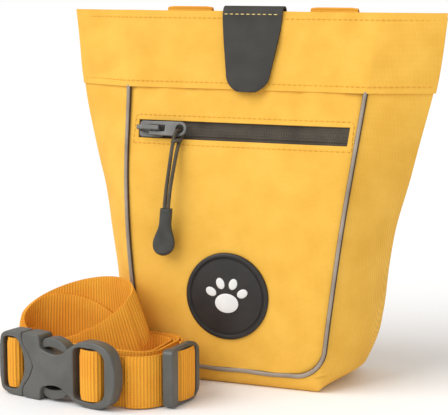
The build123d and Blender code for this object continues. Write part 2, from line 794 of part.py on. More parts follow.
# ---------------------------------------------------------------- labels and files
PIECES = {
    "front_panel": front_panel,
    "back_panel": back_panel,
    "gusset": gusset,
    "front_piping": front_piping,
    "front_collar": front_collar,
    "front_facing": front_facing,
    "back_collar": back_collar,
    "back_facing": back_facing,
    "front_magnets": front_magnets,
    "back_magnets": back_magnets,
    "inner_lining": inner_lining,
    "pocket_bag": pocket_bag,
    "zip_tape_upper": zip_tape_upper,
    "zip_tape_lower": zip_tape_lower,
    "zip_coil_upper": zip_coil_upper,
    "zip_coil_lower": zip_coil_lower,
    "zip_end_stops": zip_end_stops,
    "zip_slider_body": zip_slider_body,
    "zip_pull_tab": zip_pull_tab,
    "pull_cord": pull_cord,
    "pull_grip": pull_grip,
    "tab_saddle": tab_saddle,
    "opening_tab": opening_tab,
    "badge_base": badge_base,
    "badge_emblem": badge_emblem,
    "belt_loop_left": belt_loop_left,
    "belt_loop_right": belt_loop_right,
    "webbing_coil": webbing_coil,
    "webbing_top_turn": webbing_top_turn,
    "webbing_wrap_female": webbing_wrap_female,
    "webbing_wrap_male": webbing_wrap_male,
    "adjuster_strap": adjuster_strap,
    "webbing_tail": webbing_tail,
    "buckle_female": buckle_female,
    "buckle_male": buckle_male,
    "buckle_arm_upper": buckle_arm_upper,
    "buckle_arm_lower": buckle_arm_lower,
    "tri_glide": tri_glide,
}

for label, piece in PIECES.items():
    piece.part.label = label
    export_step(piece.part, f"parts/{label}.step")
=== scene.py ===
"""Looks of the treat pouch: cloth, webbing, moulded plastic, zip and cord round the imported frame."""

import json
from math import acos, atan2, ceil, copysign, cos, exp, pi, radians, sin, sqrt, tan, tau

import bmesh
import bpy
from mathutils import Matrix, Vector, noise


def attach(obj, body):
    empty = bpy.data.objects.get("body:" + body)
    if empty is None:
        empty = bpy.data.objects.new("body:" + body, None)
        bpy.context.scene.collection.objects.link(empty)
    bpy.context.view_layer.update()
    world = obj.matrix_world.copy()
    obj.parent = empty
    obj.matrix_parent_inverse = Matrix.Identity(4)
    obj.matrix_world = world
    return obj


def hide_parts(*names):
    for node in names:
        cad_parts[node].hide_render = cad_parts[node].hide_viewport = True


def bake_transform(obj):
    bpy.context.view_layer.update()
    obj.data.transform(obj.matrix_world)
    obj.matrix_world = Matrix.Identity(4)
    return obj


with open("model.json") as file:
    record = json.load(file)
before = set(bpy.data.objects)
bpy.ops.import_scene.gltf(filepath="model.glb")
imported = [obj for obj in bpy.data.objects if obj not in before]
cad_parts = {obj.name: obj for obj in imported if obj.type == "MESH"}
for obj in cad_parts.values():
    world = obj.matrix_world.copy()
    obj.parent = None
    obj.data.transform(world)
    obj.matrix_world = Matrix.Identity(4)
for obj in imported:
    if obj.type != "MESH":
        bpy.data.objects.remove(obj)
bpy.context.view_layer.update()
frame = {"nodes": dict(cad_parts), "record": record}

MM = 0.001  # every size below is in millimetres
SLOTS = {row["node"]: row["material_slot"] for row in frame["record"]["subparts"]}
BODIES = {n: body for body, nodes in frame["record"]["behaviour"]["bodies"].items() for n in nodes}


def add_object(name, data):
    """A new object in the scene."""
    added = bpy.data.objects.new(name, data)
    bpy.context.collection.objects.link(added)
    return added


# ---- camera
CAMERA_PLACE = (287.1, -738.2, 209.9)
CAMERA_TURN = 22.36  # degrees round to the right of the pouch
CAMERA_DROP = 8.81  # degrees downwards
CAMERA_LENS = 123.8
CAMERA_SENSOR = 36


def make_camera():
    """The camera at the viewing angle of the picture."""
    data = bpy.data.cameras.new("camera")
    data.lens = CAMERA_LENS
    data.sensor_width = CAMERA_SENSOR
    camera = add_object("camera", data)
    camera.location = Vector(CAMERA_PLACE) * MM
    camera.rotation_euler = (radians(90 - CAMERA_DROP), 0, radians(CAMERA_TURN))
    bpy.context.scene.camera = camera


make_camera()
bpy.context.scene.view_settings.view_transform = "Standard"


# ---- materials
BAND_SCALE = 0.314  # scale of the wave texture that sets its bands a metre apart
RELIEF = 0.0002  # how deep a bump is at full strength, in metres


def set_inputs(node, values):
    """Plain values on a node's own sockets."""
    for socket, value in values.items():
        node.inputs[socket].default_value = value
    return node


def shader(name, roughness, sheen=0.0, metallic=0.0):
    """A new material and its nodes, with the plain numbers set on the shader."""
    material = bpy.data.materials.new(name)
    material.use_nodes = True
    nodes, links = material.node_tree.nodes, material.node_tree.links
    base = nodes["Principled BSDF"]
    set_inputs(base, {"Roughness": roughness, "Sheen Weight": sheen, "Metallic": metallic})
    return material, nodes, links, base


def mottled(nodes, links, where, scale, dark, light):
    """Colour that wanders between two tones."""
    cloud = set_inputs(nodes.new("ShaderNodeTexNoise"), {"Scale": scale, "Detail": 5})
    ramp = nodes.new("ShaderNodeValToRGB")
    for element, position, tone in zip(ramp.color_ramp.elements, (0.35, 0.65), (dark, light)):
        element.position = position
        element.color = (*tone, 1)
    links.new(where, cloud.inputs["Vector"])
    links.new(cloud.outputs["Fac"], ramp.inputs["Fac"])
    return ramp.outputs["Color"]


def threads(nodes, links, where, direction, pitch):
    """Bands a pitch apart in one direction, in metres."""
    wave = nodes.new("ShaderNodeTexWave")
    wave.bands_direction = direction
    set_inputs(wave, {"Scale": BAND_SCALE / pitch, "Distortion": 0.6, "Detail Scale": 2})
    links.new(where, wave.inputs["Vector"])
    return wave.outputs["Fac"]


def combine(nodes, links, first, second, operation):
    """One math node between two values."""
    math_node = nodes.new("ShaderNodeMath")
    math_node.operation = operation
    for value, socket in zip((first, second), math_node.inputs):
        if isinstance(value, float):
            socket.default_value = value
        else:
            links.new(value, socket)
    return math_node.outputs[0]


def shade_by(nodes, links, colour, value, strength):
    """The colour, darker where the value is low."""
    mix = nodes.new("ShaderNodeMix")
    mix.data_type = "RGBA"
    mix.blend_type = "MULTIPLY"
    mix.inputs["Factor"].default_value = strength
    links.new(colour, mix.inputs["A"])
    links.new(value, mix.inputs["B"])
    return mix.outputs["Result"]


def bump(nodes, links, base, height, strength):
    """Relief from a height value."""
    relief = set_inputs(nodes.new("ShaderNodeBump"), {"Strength": strength, "Distance": RELIEF})
    links.new(height, relief.inputs["Height"])
    links.new(relief.outputs["Normal"], base.inputs["Normal"])


def woven(name, dark, light, pitch, roughness=0.85, sheen=0.0, relief=0.35, shade=0.22, rib_trough_shade=0.0):
    """Plain woven cloth: crossed threads over a mottled colour."""
    material, nodes, links, base = shader(name, roughness, sheen)
    where = nodes.new("ShaderNodeTexCoord").outputs["Object"]
    level = threads(nodes, links, where, "Z", pitch * MM)
    upright = threads(nodes, links, where, "X", pitch * MM)
    cloth = combine(nodes, links, level, upright, "ADD")
    cloth = combine(nodes, links, cloth, 0.5, "MULTIPLY")
    colour = mottled(nodes, links, where, 60, dark, light)
    colour = shade_by(nodes, links, colour, cloth, shade)
    # Painted shade: the colour darkens in the troughs between the webbing's ribs.
    if rib_trough_shade:
        painted_trough_shade = nodes.new("ShaderNodeAttribute")
        painted_trough_shade.attribute_name = "painted_trough_shade"
        colour = shade_by(nodes, links, colour, painted_trough_shade.outputs["Fac"], rib_trough_shade)
    links.new(colour, base.inputs["Base Color"])
    bump(nodes, links, base, cloth, relief)
    return material


def grained(name, dark, light, grain, roughness, relief, metallic=0.0):
    """Moulded or coated surface: a fine grain over a mottled colour."""
    material, nodes, links, base = shader(name, roughness, 0.0, metallic)
    where = nodes.new("ShaderNodeTexCoord").outputs["Object"]
    links.new(mottled(nodes, links, where, 90, dark, light), base.inputs["Base Color"])
    fine = set_inputs(nodes.new("ShaderNodeTexNoise"), {"Scale": 1 / (grain * MM), "Detail": 3})
    links.new(where, fine.inputs["Vector"])
    bump(nodes, links, base, fine.outputs["Fac"], relief)
    return material


MATERIALS = {
    "canvas": woven("canvas", (0.86, 0.46, 0.050), (0.94, 0.53, 0.072), 0.6),
    # Webbing, with painted shade in the troughs between its ribs.
    "webbing": woven(
        "webbing", (0.95, 0.37, 0.018), (1.00, 0.44, 0.028), 0.8, relief=0.6, shade=0.15, rib_trough_shade=0.30
    ),
    "lining": woven("lining", (0.42, 0.20, 0.020), (0.52, 0.26, 0.030), 0.35),
    "piping": woven("piping", (0.26, 0.21, 0.16), (0.38, 0.32, 0.26), 0.6, 0.45),
    "zip_tape": woven("zip_tape", (0.050, 0.040, 0.028), (0.100, 0.082, 0.060), 0.7, 0.8, shade=0.5),
    "cord": woven("cord", (0.060, 0.045, 0.026), (0.130, 0.105, 0.068), 0.6, 0.6, relief=0.8, shade=0.5),
    "plastic": grained("plastic", (0.078, 0.078, 0.070), (0.102, 0.101, 0.092), 0.35, 0.4, 0.12),
    "tab_rubber": grained("tab_rubber", (0.024, 0.022, 0.018), (0.034, 0.031, 0.026), 0.5, 0.7, 0.3),
    "badge_rubber": grained("badge_rubber", (0.012, 0.010, 0.009), (0.020, 0.017, 0.015), 0.4, 0.5, 0.15),
    "emblem": grained("emblem", (0.72, 0.72, 0.70), (0.80, 0.80, 0.78), 0.4, 0.5, 0.1),
    "zip_coil": grained("zip_coil", (0.040, 0.034, 0.026), (0.064, 0.056, 0.044), 0.4, 0.5, 0.2),
    "slider_metal": grained(
        "slider_metal", (0.100, 0.098, 0.092), (0.150, 0.148, 0.140), 0.5, 0.38, 0.1, 0.3
    ),
    "grip_rubber": grained("grip_rubber", (0.030, 0.031, 0.026), (0.060, 0.061, 0.053), 0.55, 0.6, 0.9),
    "magnet": grained("magnet", (0.45, 0.45, 0.45), (0.55, 0.55, 0.55), 0.5, 0.35, 0.1, 1.0),
}
# Dark brown for the painted shade along each side of the piping.
PIPING_SIDE_SHADE = woven("piping_side_shade", (0.060, 0.036, 0.016), (0.095, 0.058, 0.028), 0.5)
# Orange thread, made darker than the canvas as painted shade round each stitch.
THREAD_WITH_PAINTED_SHADE = woven("thread", (0.78, 0.36, 0.020), (0.90, 0.46, 0.040), 0.3, 0.6, relief=0.4)
PALE_THREAD = woven("pale_thread", (0.85, 0.62, 0.22), (0.92, 0.72, 0.32), 0.3, 0.6, relief=0.4)

for node, cad_object in frame["nodes"].items():
    cad_object.data.materials.clear()
    cad_object.data.materials.append(MATERIALS[SLOTS[node]])


# ---- pieces and meshes
MERGE = 0.01  # points nearer than this become one


def smooth(piece, sharp=40):
    """Smooth shading, except over edges sharper than an angle in degrees."""
    piece.data.shade_smooth()
    piece.data.set_sharp_from_angle(angle=radians(sharp))


def new_piece(name, points, faces, sharp=40, rib_trough_shade=None):
    """A mesh object from points in millimetres."""
    mesh = bpy.data.meshes.new(name)
    mesh.from_pydata([tuple(Vector(point) * MM) for point in points], [], faces)
    # Values per point for the painted shade in the troughs between webbing ribs.
    if rib_trough_shade:
        mesh.attributes.new("painted_trough_shade", "FLOAT", "POINT").data.foreach_set("value", rib_trough_shade)
    work = bmesh.new()
    work.from_mesh(mesh)
    bmesh.ops.remove_doubles(work, verts=work.verts, dist=MERGE * MM)
    bmesh.ops.recalc_face_normals(work, faces=work.faces)
    work.to_mesh(mesh)
    work.free()
    piece = add_object(name, mesh)
    smooth(piece, sharp)
    return piece


def bake_modifiers(piece):
    """Puts what the modifiers make into the mesh itself."""
    bpy.context.view_layer.update()
    shown = piece.evaluated_get(bpy.context.evaluated_depsgraph_get())
    mesh = bpy.data.meshes.new_from_object(shown)
    piece.modifiers.clear()
    piece.data = mesh


def thicken(piece, thickness):
    """Gives a sheet its thickness, half to each side."""
    shell = piece.modifiers.new("thickness", "SOLIDIFY")
    shell.thickness = thickness * MM
    shell.offset = 0
    shell.use_even_offset = True
    bake_modifiers(piece)
    smooth(piece)


def stands_for(piece, *nodes, ride=True):
    """Puts a piece in the place of CAD nodes, with their finish and, if it rides, their body."""
    piece.data.materials.clear()
    piece.data.materials.append(MATERIALS[SLOTS[nodes[0]]])
    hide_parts(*nodes)
    if ride:
        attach(piece, BODIES[nodes[0]])


def grid_faces(rows, columns, start=0, closed=False):
    """Quads of a grid whose points run row by row."""
    faces = []
    last = columns if closed else columns - 1
    for row in range(rows - 1):
        for column in range(last):
            here = start + row * columns + column
            beside = start + row * columns + (column + 1) % columns
            faces.append((here, beside, beside + columns, here + columns))
    return faces


def end_caps(first, last, sides):
    """Faces that close a run of rings, from where its first and last rings start."""
    return [tuple(range(first, first + sides)), tuple(range(last, last + sides))]


def steps(low, high, count):
    """Evenly spaced values, both ends included."""
    return [low + (high - low) * i / (count - 1) for i in range(count)]


def circle(count):
    """Evenly spaced angles of one full turn."""
    return [tau * i / count for i in range(count)]


def squarer(value, power):
    """A sine or cosine with its curve made squarer and its sign kept."""
    return copysign(abs(value) ** power, value)


def run_length(line):
    """Length along a line of points."""
    return sum((b - a).length for a, b in zip(line, line[1:]))


def ease(value):
    """0 to 1, with no corner at either end."""
    value = min(max(value, 0.0), 1.0)
    return value * value * (3 - 2 * value)


def wander(x, y, z, size):
    """Gentle unevenness between about -1 and 1, that changes over a size."""
    return noise.noise(Vector((x, y, z)) / size)


def spread(route, step):
    """Points an even step apart along a line of points."""
    lengths = [0.0]
    for before, after in zip(route, route[1:]):
        lengths.append(lengths[-1] + (after - before).length)
    count = max(2, ceil(lengths[-1] / step) + 1)
    points, k = [], 0
    for target in steps(0, lengths[-1], count):
        while k < len(route) - 2 and lengths[k + 1] < target:
            k += 1
        gap = lengths[k + 1] - lengths[k]
        points.append(route[k].lerp(route[k + 1], (target - lengths[k]) / gap if gap else 0))
    return points


def curved(corners, share=12):
    """Smooth line through a few points."""
    line = []
    ends = [2 * corners[0] - corners[1], *corners, 2 * corners[-1] - corners[-2]]
    for a, b, c, d in zip(ends, ends[1:], ends[2:], ends[3:]):
        for i in range(share):
            t = i / share
            bend = (2 * a - 5 * b + 4 * c - d) * t**2
            line.append(0.5 * (2 * b + (c - a) * t + bend + (3 * b - a - 3 * c + d) * t**3))
    return [*line, corners[-1]]


# ---- shape of the pouch
SEAM = 150.0
FRONT_RIM = 188.6
BACK_RIM = 186.4
FOOT = 8.0
CORNER = 15.0
BASE_EDGE = 10.0
CLOTH = 1.1
# height, half width of the flat panels, half depth, half width at the side fold, roundness
STATIONS = [
    (0.0, 44.0, 25.0, 50.0, 0.72),
    (10.0, 49.0, 31.0, 61.0, 0.75),
    (30.0, 51.7, 33.0, 70.5, 0.75),
    (60.0, 55.4, 32.6, 75.0, 0.72),
    (85.0, 58.2, 30.2, 80.0, 0.66),
    (110.0, 60.8, 25.2, 86.7, 0.60),
    (SEAM, 64.3, 14.0, 95.7, 0.57),
    (FRONT_RIM, 68.2, 6.17, 100.5, 0.56),
]
LEFT_BOW = 2.6  # how far the left fold bows out, and the right one is drawn in
RIGHT_BOW = 2.2
FOLD_INSET = 1.6  # how much faster a lining moves in at the side folds
TUCK = 17.0  # how far the side fold draws in under the base


def rate(low, high, column):
    """Slope of one column of the stations."""
    return (high[column] - low[column]) / (high[0] - low[0])


def shape_at(height):
    """Panel half width, half depth, fold half width and roundness at a height."""
    if height < BASE_EDGE:
        share = sin(acos(max(0.0, 1 - height / BASE_EDGE)))
        return [a + share * (b - a) for a, b in zip(STATIONS[0][1:], STATIONS[1][1:])]
    k = max(i for i in range(1, len(STATIONS) - 1) if STATIONS[i][0] <= height)
    low, high = STATIONS[k], STATIONS[k + 1]
    before = STATIONS[k - 1] if k > 1 else low
    after = STATIONS[k + 2] if k + 2 < len(STATIONS) else high
    gap = high[0] - low[0]
    t = (height - low[0]) / gap
    values = []
    for column in range(1, len(low)):
        start = rate(before, high, column) * gap
        end = rate(low, after, column) * gap
        value = (2 * t**3 - 3 * t**2 + 1) * low[column] + (t**3 - 2 * t**2 + t) * start
        values.append(value + (3 * t**2 - 2 * t**3) * high[column] + (t**3 - t**2) * end)
    return values


def fold_at(height, side):
    """Half width at the side fold: the left side bows out, the right one in, and both tuck under."""
    slack = ease((height - 12) / 25) * (1 - 0.9 * ease((height - 100) / 80))
    fold = shape_at(height)[2] + slack * (LEFT_BOW if side < 0 else -RIGHT_BOW)
    if height < BASE_EDGE:
        fold = min(fold, STATIONS[1][3] - TUCK * (1 - height / BASE_EDGE) ** 1.3)
    return fold


def panel_edge(height):
    """Half width of the front and back panels, with their round lower corners."""
    half = shape_at(height)[0]
    drop = FOOT + CORNER - height
    if drop <= 0:
        return half
    return half - CORNER + sqrt(max(0.0, CORNER**2 - drop**2))


def side_curve(height, side, inset, count):
    """Points round one side, from the front panel's edge over the fold to the back panel's."""
    panel, depth, _, roundness = shape_at(height)
    fold = fold_at(height, side) - FOLD_INSET * inset
    panel, depth = panel - inset, depth - inset
    edge = min(panel, panel_edge(height) - inset)
    middle = panel + roundness * (fold - panel)
    control = Vector((2 * middle - (panel + fold) / 2, -depth / 2, 0))
    start, end = Vector((panel, -depth, 0)), Vector((fold, 0, 0))
    front = [Vector((edge, -depth, 0))] if panel - edge > 0.01 else []
    front += [start.lerp(control, t).lerp(control.lerp(end, t), t) for t in steps(0, 1, 24)]
    front = spread(front, 1e-3 + run_length(front) / (count // 2))
    front = front[: count // 2] + [end]
    whole = front + [Vector((p.x, -p.y, 0)) for p in reversed(front[:-1])]
    return [Vector((side * p.x, p.y, height)) for p in whole]


def puckered(point, side):
    """Side cloth with soft folds that run down from the seam."""
    amount = 0.9 * wander(point.y * 0.6, point.z * 0.35, side * 9.0, 14)
    amount *= ease((point.z - 10) / 30)
    return point + Vector((side * amount, 0, 0))


# ---- gusset and base
SIDE_COUNT = 41
FRONT_COUNT = 30


def base_loop(height, scale=1.0):
    """Closed ring round the whole base at one height."""
    right = side_curve(height, 1, 0.5, SIDE_COUNT)
    left = side_curve(height, -1, 0.5, SIDE_COUNT)
    front = [left[0].lerp(right[0], t) for t in steps(0, 1, FRONT_COUNT)][1:-1]
    back = [right[-1].lerp(left[-1], t) for t in steps(0, 1, FRONT_COUNT)][1:-1]
    ring = right + back + left[::-1] + front
    return [Vector((p.x * scale, p.y * scale, p.z)) for p in ring]


def make_gusset():
    """Both folded sides and the base, sewn from one strip."""
    points, faces = [], []
    heights = steps(FOOT, SEAM + 0.2, 84)
    for side in (-1, 1):
        start = len(points)
        for height in heights:
            points += [puckered(p, side) for p in side_curve(height, side, 0.5, SIDE_COUNT)]
        faces += grid_faces(len(heights), SIDE_COUNT, start)
    rings = [base_loop(height) for height in (8, 6.5, 5, 3.5, 2.2, 1.2, 0.75)]
    rings += [base_loop(0.6, scale) for scale in (0.97, 0.85, 0.65, 0.4, 0.2, 0.05)]
    start = len(points)
    for ring in rings:
        points += ring
    count = len(rings[0])
    faces += grid_faces(len(rings), count, start, closed=True)
    faces.append(tuple(range(len(points) - count, len(points))))
    piece = new_piece("side_gusset", points, faces)
    thicken(piece, CLOTH)
    stands_for(piece, "gusset")


make_gusset()

# ---- front and back panels
ZIP_HEIGHT = 128.2
WINDOW_LEFT = -56.0
WINDOW_RIGHT = 57.5
WINDOW_HEIGHT = 9.5
BELOW_ZIP, ABOVE_ZIP = STATIONS[5], STATIONS[6]
ZIP_LEAN = atan2(BELOW_ZIP[2] - ABOVE_ZIP[2], ABOVE_ZIP[0] - BELOW_ZIP[0])
EDGE_DROP = 1.4  # how far a panel falls back towards its piping
window_top = ZIP_HEIGHT + WINDOW_HEIGHT / 2 * cos(ZIP_LEAN)
window_foot = ZIP_HEIGHT - WINDOW_HEIGHT / 2 * cos(ZIP_LEAN)
window_shares = [x / shape_at(ZIP_HEIGHT)[0] for x in (WINDOW_LEFT, WINDOW_RIGHT)]


def panel_depth(share, height):
    """How far a panel stands from the middle of the pouch: crowned, with puckers under the seam."""
    depth = shape_at(height)[1] - 0.15
    depth -= EDGE_DROP * abs(share) ** 7
    x = share * shape_at(height)[0]
    near_seam = ease((height - 132) / 14)
    pucker = 0.8 * near_seam * (wander(x, 3, 0, 7) - 0.3)
    near_foot = ease((24 - height) / 14)
    ripple = 0.5 * near_foot * (wander(x, 8, 0, 16) - 0.4)
    swell = 0.5 * wander(x, height, 2, 34) * ease((height - 75) / 25)
    return depth + pucker + ripple + swell


def make_panel(name, node, side, window):
    """The flat cloth of one side inside its piping."""
    low, high = window_shares
    shares = steps(-1, low, 6)[:-1] + steps(low, high, 90) + steps(high, 1, 6)[1:]
    heights = steps(FOOT, window_foot, 78)[:-1] + steps(window_foot, window_top, 7)
    heights += steps(window_top, SEAM + 0.2, 14)[1:]
    points = []
    for height in heights:
        edge = panel_edge(height)
        points += [Vector((u * edge, side * panel_depth(u, height), height)) for u in shares]
    count = len(shares)
    faces = []
    for face in grid_faces(len(heights), count):
        row, column = divmod(face[0], count)
        in_window = window_foot - 0.01 <= heights[row] < window_top - 0.01
        in_window = in_window and low - 1e-6 <= shares[column] < high - 1e-6
        if not (window and in_window):
            faces.append(face)
    piece = new_piece(name, points, faces)
    thicken(piece, CLOTH)
    stands_for(piece, node)


make_panel("front_cloth", "front_panel", -1, True)
make_panel("back_cloth", "back_panel", 1, False)


# ---- tubes and webbing
def cross_frames(route):
    """A direction along the route and one across it at each point, with no sudden twist."""
    ahead = [(b - a).normalized() for a, b in zip(route, route[1:])]
    ahead.append(ahead[-1])
    across = ahead[0].orthogonal().normalized()
    frames = []
    for direction in ahead:
        across = (across - direction * across.dot(direction)).normalized()
        frames.append((direction, across))
    return frames


def tube(route, radius, sides=12):
    """Points and faces of a round tube along a route, closed at both ends."""
    points = []
    for centre, (direction, across) in zip(route, cross_frames(route)):
        other = direction.cross(across)
        for angle in circle(sides):
            points.append(centre + radius * (cos(angle) * across + sin(angle) * other))
    faces = grid_faces(len(route), sides, closed=True)
    faces += end_caps(0, len(points) - sides, sides)
    return points, faces


RIB_PITCH = 1.6
RIB = 0.16
EDGE_COLUMNS = 9
WEBBING_FLOOR = 0.05  # the lowest that webbing may hang


def webbing(name, route, ups, width, thickness, closed=False):
    """A piece of ribbed webbing along a route: ups point across its width."""
    points, rib_trough_shade, travelled = [], [], 0.0
    last = len(route) - 1
    for i, (centre, up) in enumerate(zip(route, ups)):
        after = route[(i + 1) % len(route)] if closed else route[min(i + 1, last)]
        before = route[i - 1] if closed or i else route[0]
        face_out = (after - before).cross(up).normalized()
        travelled += (centre - before).length if i else 0
        wave = cos(tau * travelled / RIB_PITCH)
        relief = RIB * wave
        # Low in the troughs between the ribs, where painted shade darkens the colour.
        rib_trough_shade += [0.5 + 0.5 * wave] * (2 * EDGE_COLUMNS)
        for side in (1, -1):
            for place in steps(-side, side, EDGE_COLUMNS):
                rim = 1 - 0.45 * abs(place) ** 12
                offset = side * (thickness / 2 * rim + relief * (1 - abs(place) ** 10))
                point = centre + up * (place * width / 2) + face_out * offset
                point.z = max(point.z, WEBBING_FLOOR)
                points.append(point)
    count = 2 * EDGE_COLUMNS
    faces = grid_faces(len(route), count, closed=True)
    if closed:
        start = len(points) - count
        for c in range(count):
            faces.append((start + c, start + (c + 1) % count, (c + 1) % count, c))
    else:
        faces += end_caps(0, len(points) - count, count)
    return new_piece(name, points, faces, rib_trough_shade=rib_trough_shade)


# ---- piping
PIPING_RADIUS = 1.25


def piping_line():
    """Line down one side of the front panel, along its foot and up the other."""
    half = []
    for height in steps(SEAM, FOOT + CORNER, 60):
        half.append((panel_edge(height), height))
    for turn in steps(0, pi / 2, 16)[1:]:
        height = FOOT + CORNER * (1 - sin(turn))
        half.append((shape_at(height)[0] - CORNER * (1 - cos(turn)), height))
    foot = [(x, FOOT) for x in steps(half[-1][0], -half[-1][0], 40)[1:-1]]
    whole = half + foot + [(-x, height) for x, height in reversed(half)]
    line = []
    for x, height in whole:
        sag = 0.5 * wander(x, 4, 0, 15) * ease((20 - height) / 10)
        line.append(Vector((x, -shape_at(height)[1] + 0.1, height + sag)))
    return line


def make_piping():
    """Reflective piping, its sides painted dark as shade where it meets the cloth."""
    line = spread(piping_line(), 1.0)
    points, faces = tube(line, PIPING_RADIUS, 16)
    piece = new_piece("panel_piping", points, faces, sharp=80)
    stands_for(piece, "front_piping")
    piece.data.materials.append(PIPING_SIDE_SHADE)
    # Faces turned away from the front take the painted shade.
    for face in piece.data.polygons:
        if face.normal.y > -0.62:
            face.material_index = 1


make_piping()

# ---- collar
COLLAR_PROUD = 0.5
FACING_INSET = 2.6
FACING = 0.8
COLLAR_ROWS = 34
COLLAR_COLUMNS = 90


def collar_arc(height, inset, side_y, side_x):
    """Points of one half of the collar, from the side fold to the middle of the mouth."""
    arc = side_curve(height, side_x, inset, 61)[:31]
    if side_y > 0:
        arc = [Vector((p.x, -p.y, p.z)) for p in arc]
    middle = Vector((0, arc[0].y, height))
    line = [*reversed(arc), *[arc[0].lerp(middle, t) for t in steps(0, 1, 20)[1:]]]
    even = spread(line, run_length(line) / (COLLAR_COLUMNS - 1) + 1e-6)
    return (even + [middle] * COLLAR_COLUMNS)[:COLLAR_COLUMNS]


def creased(point, side_y):
    """Collar cloth with soft diagonal folds by the left corner and small puckers at its hems."""
    across = (point.x + 100) / 70
    folds = sin((point.z - 150) / 5.2 - (point.x + 100) / 9.5)
    amount = 1.1 * folds * exp(-across * across * 1.6)
    amount += 0.75 * wander(point.x, point.z * 1.4, side_y * 5, 17)
    amount *= ease((101 - abs(point.x)) / 12) * ease((point.z - SEAM) / 6)
    return point + Vector((0, side_y * amount, 0))


def follow_mouth(piece):
    """Bakes the piece's placement into its mesh."""
    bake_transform(piece)


def make_collar(name, node, side_y, side_x, rim, inset, thickness):
    """One half of one layer of the collar."""
    heights = steps(SEAM - 0.6, rim, COLLAR_ROWS)
    points = []
    for height in heights:
        for p in collar_arc(height, inset, side_y, side_x):
            points.append(creased(p, side_y))
    piece = new_piece(name, points, grid_faces(len(heights), COLLAR_COLUMNS))
    thicken(piece, thickness)
    stands_for(piece, node, ride=side_y > 0)
    if side_y < 0:
        follow_mouth(piece)


for side_x, word in ((-1, "left"), (1, "right")):
    make_collar(f"front_collar_{word}", "front_collar", -1, side_x, FRONT_RIM, -COLLAR_PROUD, CLOTH)
    make_collar(f"back_collar_{word}", "back_collar", 1, side_x, BACK_RIM, -COLLAR_PROUD, CLOTH)
    make_collar(f"front_facing_{word}", "front_facing", -1, side_x, FRONT_RIM - 0.3, FACING_INSET, FACING)
    make_collar(f"back_facing_{word}", "back_facing", 1, side_x, BACK_RIM - 0.3, FACING_INSET, FACING)


# ---- lining and pocket
LINING_ROWS = 50
POCKET_GRID = 40  # points each way in each layer of the pocket


def make_lining():
    """The bag inside, closed at the foot and drawn out to the facing at the seam."""
    points, count = [], 0
    for height in steps(7.0, SEAM, LINING_ROWS):
        inset = 6.2 - 2.4 * ease((height - 130) / 20)
        right = side_curve(height, 1, inset, SIDE_COUNT)
        left = side_curve(height, -1, inset, SIDE_COUNT)
        ring = right + left[::-1]
        count = len(ring)
        points += ring
    faces = grid_faces(LINING_ROWS, count, closed=True)
    faces.append(tuple(range(count)))
    piece = new_piece("lining_bag", points, faces)
    thicken(piece, 0.5)
    stands_for(piece, "inner_lining")


def make_pocket():
    """Flat bag behind the zip, open along its top at the zip."""
    points = []
    for inset in (1.9, 5.2):
        for height in steps(46, 140, POCKET_GRID):
            depth = shape_at(height)[1]
            for u in steps(-1, 1, POCKET_GRID):
                closing = max(abs(u) ** 10, ease((52 - height) / 6))
                inside = inset + (3.4 - inset) * closing
                points.append(Vector((u * 53, -depth + inside, height)))
    faces = grid_faces(POCKET_GRID, POCKET_GRID)
    faces += grid_faces(POCKET_GRID, POCKET_GRID, POCKET_GRID**2)
    piece = new_piece("zip_pocket", points, faces)
    thicken(piece, 0.4)
    stands_for(piece, "pocket_bag")


make_lining()
make_pocket()

# ---- zip
ZIP_DEPTH = BELOW_ZIP[2] - (ZIP_HEIGHT - BELOW_ZIP[0]) * tan(ZIP_LEAN)
TAPE_FACE = -1.4
TAPE_WIDTH = 13.0
TOOTH = 1.3


def on_zip(x, up, out):
    """Point from a place on the leaning plane of the zip."""
    y = -ZIP_DEPTH + up * sin(ZIP_LEAN) - out * cos(ZIP_LEAN)
    return Vector((x, y, ZIP_HEIGHT + up * cos(ZIP_LEAN) + out * sin(ZIP_LEAN)))


def tape_relief(x, up):
    """Raised chain beside the gap, with a tooth's width of rise and fall."""
    chain = ease((3.0 - up) / 0.5)
    teeth = 0.16 * cos(tau * x / TOOTH + up * 1.6) * chain
    groove = -0.25 * exp(-(((up - 1.7) / 0.25) ** 2))
    return 0.55 * chain + teeth + groove


def make_tape(side, name):
    """One tape of the zip with its half of the chain."""
    along = steps(-57.7, 59.2, 500)
    across = [0.02] + [0.4 + 0.3 * i for i in range(11)] + steps(4, TAPE_WIDTH, 6)
    points = []
    for up in across:
        points += [on_zip(x, side * up, TAPE_FACE + tape_relief(x, up) - 0.3) for x in along]
    piece = new_piece(f"{name}_woven", points, grid_faces(len(across), len(along)))
    thicken(piece, 0.5)
    stands_for(piece, name)


make_tape(1, "zip_tape_upper")
make_tape(-1, "zip_tape_lower")


# ---- moulded pieces
THROUGH = 40  # half depth that reaches right through any plate


def mould_edges(piece, node, voxel, rounds):
    """Rounds every edge as a mould leaves it, and lets the piece stand for its node."""
    remesh = piece.modifiers.new("remesh", "REMESH")
    remesh.mode = "VOXEL"
    remesh.voxel_size = voxel * MM
    soften = piece.modifiers.new("soften", "SMOOTH")
    soften.factor = 0.5
    soften.iterations = rounds
    bake_modifiers(piece)
    smooth(piece, 60)
    stands_for(piece, node)
    return piece


def moulded(node, voxel, rounds):
    """A copy of a CAD node with every edge rounded."""
    piece = add_object(f"{node}_moulded", frame["nodes"][node].data.copy())
    return mould_edges(piece, node, voxel, rounds)


def rounded(corners):
    """Closed outline through corners (along, up, radius), each turned by an arc."""
    outline = []
    count = len(corners)
    for i, (x, y, radius) in enumerate(corners):
        here = Vector((x, y))
        back = Vector(corners[i - 1][:2]) - here
        ahead = Vector(corners[(i + 1) % count][:2]) - here
        reach = min(radius, 0.48 * back.length, 0.48 * ahead.length)
        start, end = here + back.normalized() * reach, here + ahead.normalized() * reach
        outline += [start.lerp(here, t).lerp(here.lerp(end, t), t) for t in steps(0, 1, 9)]
    return outline


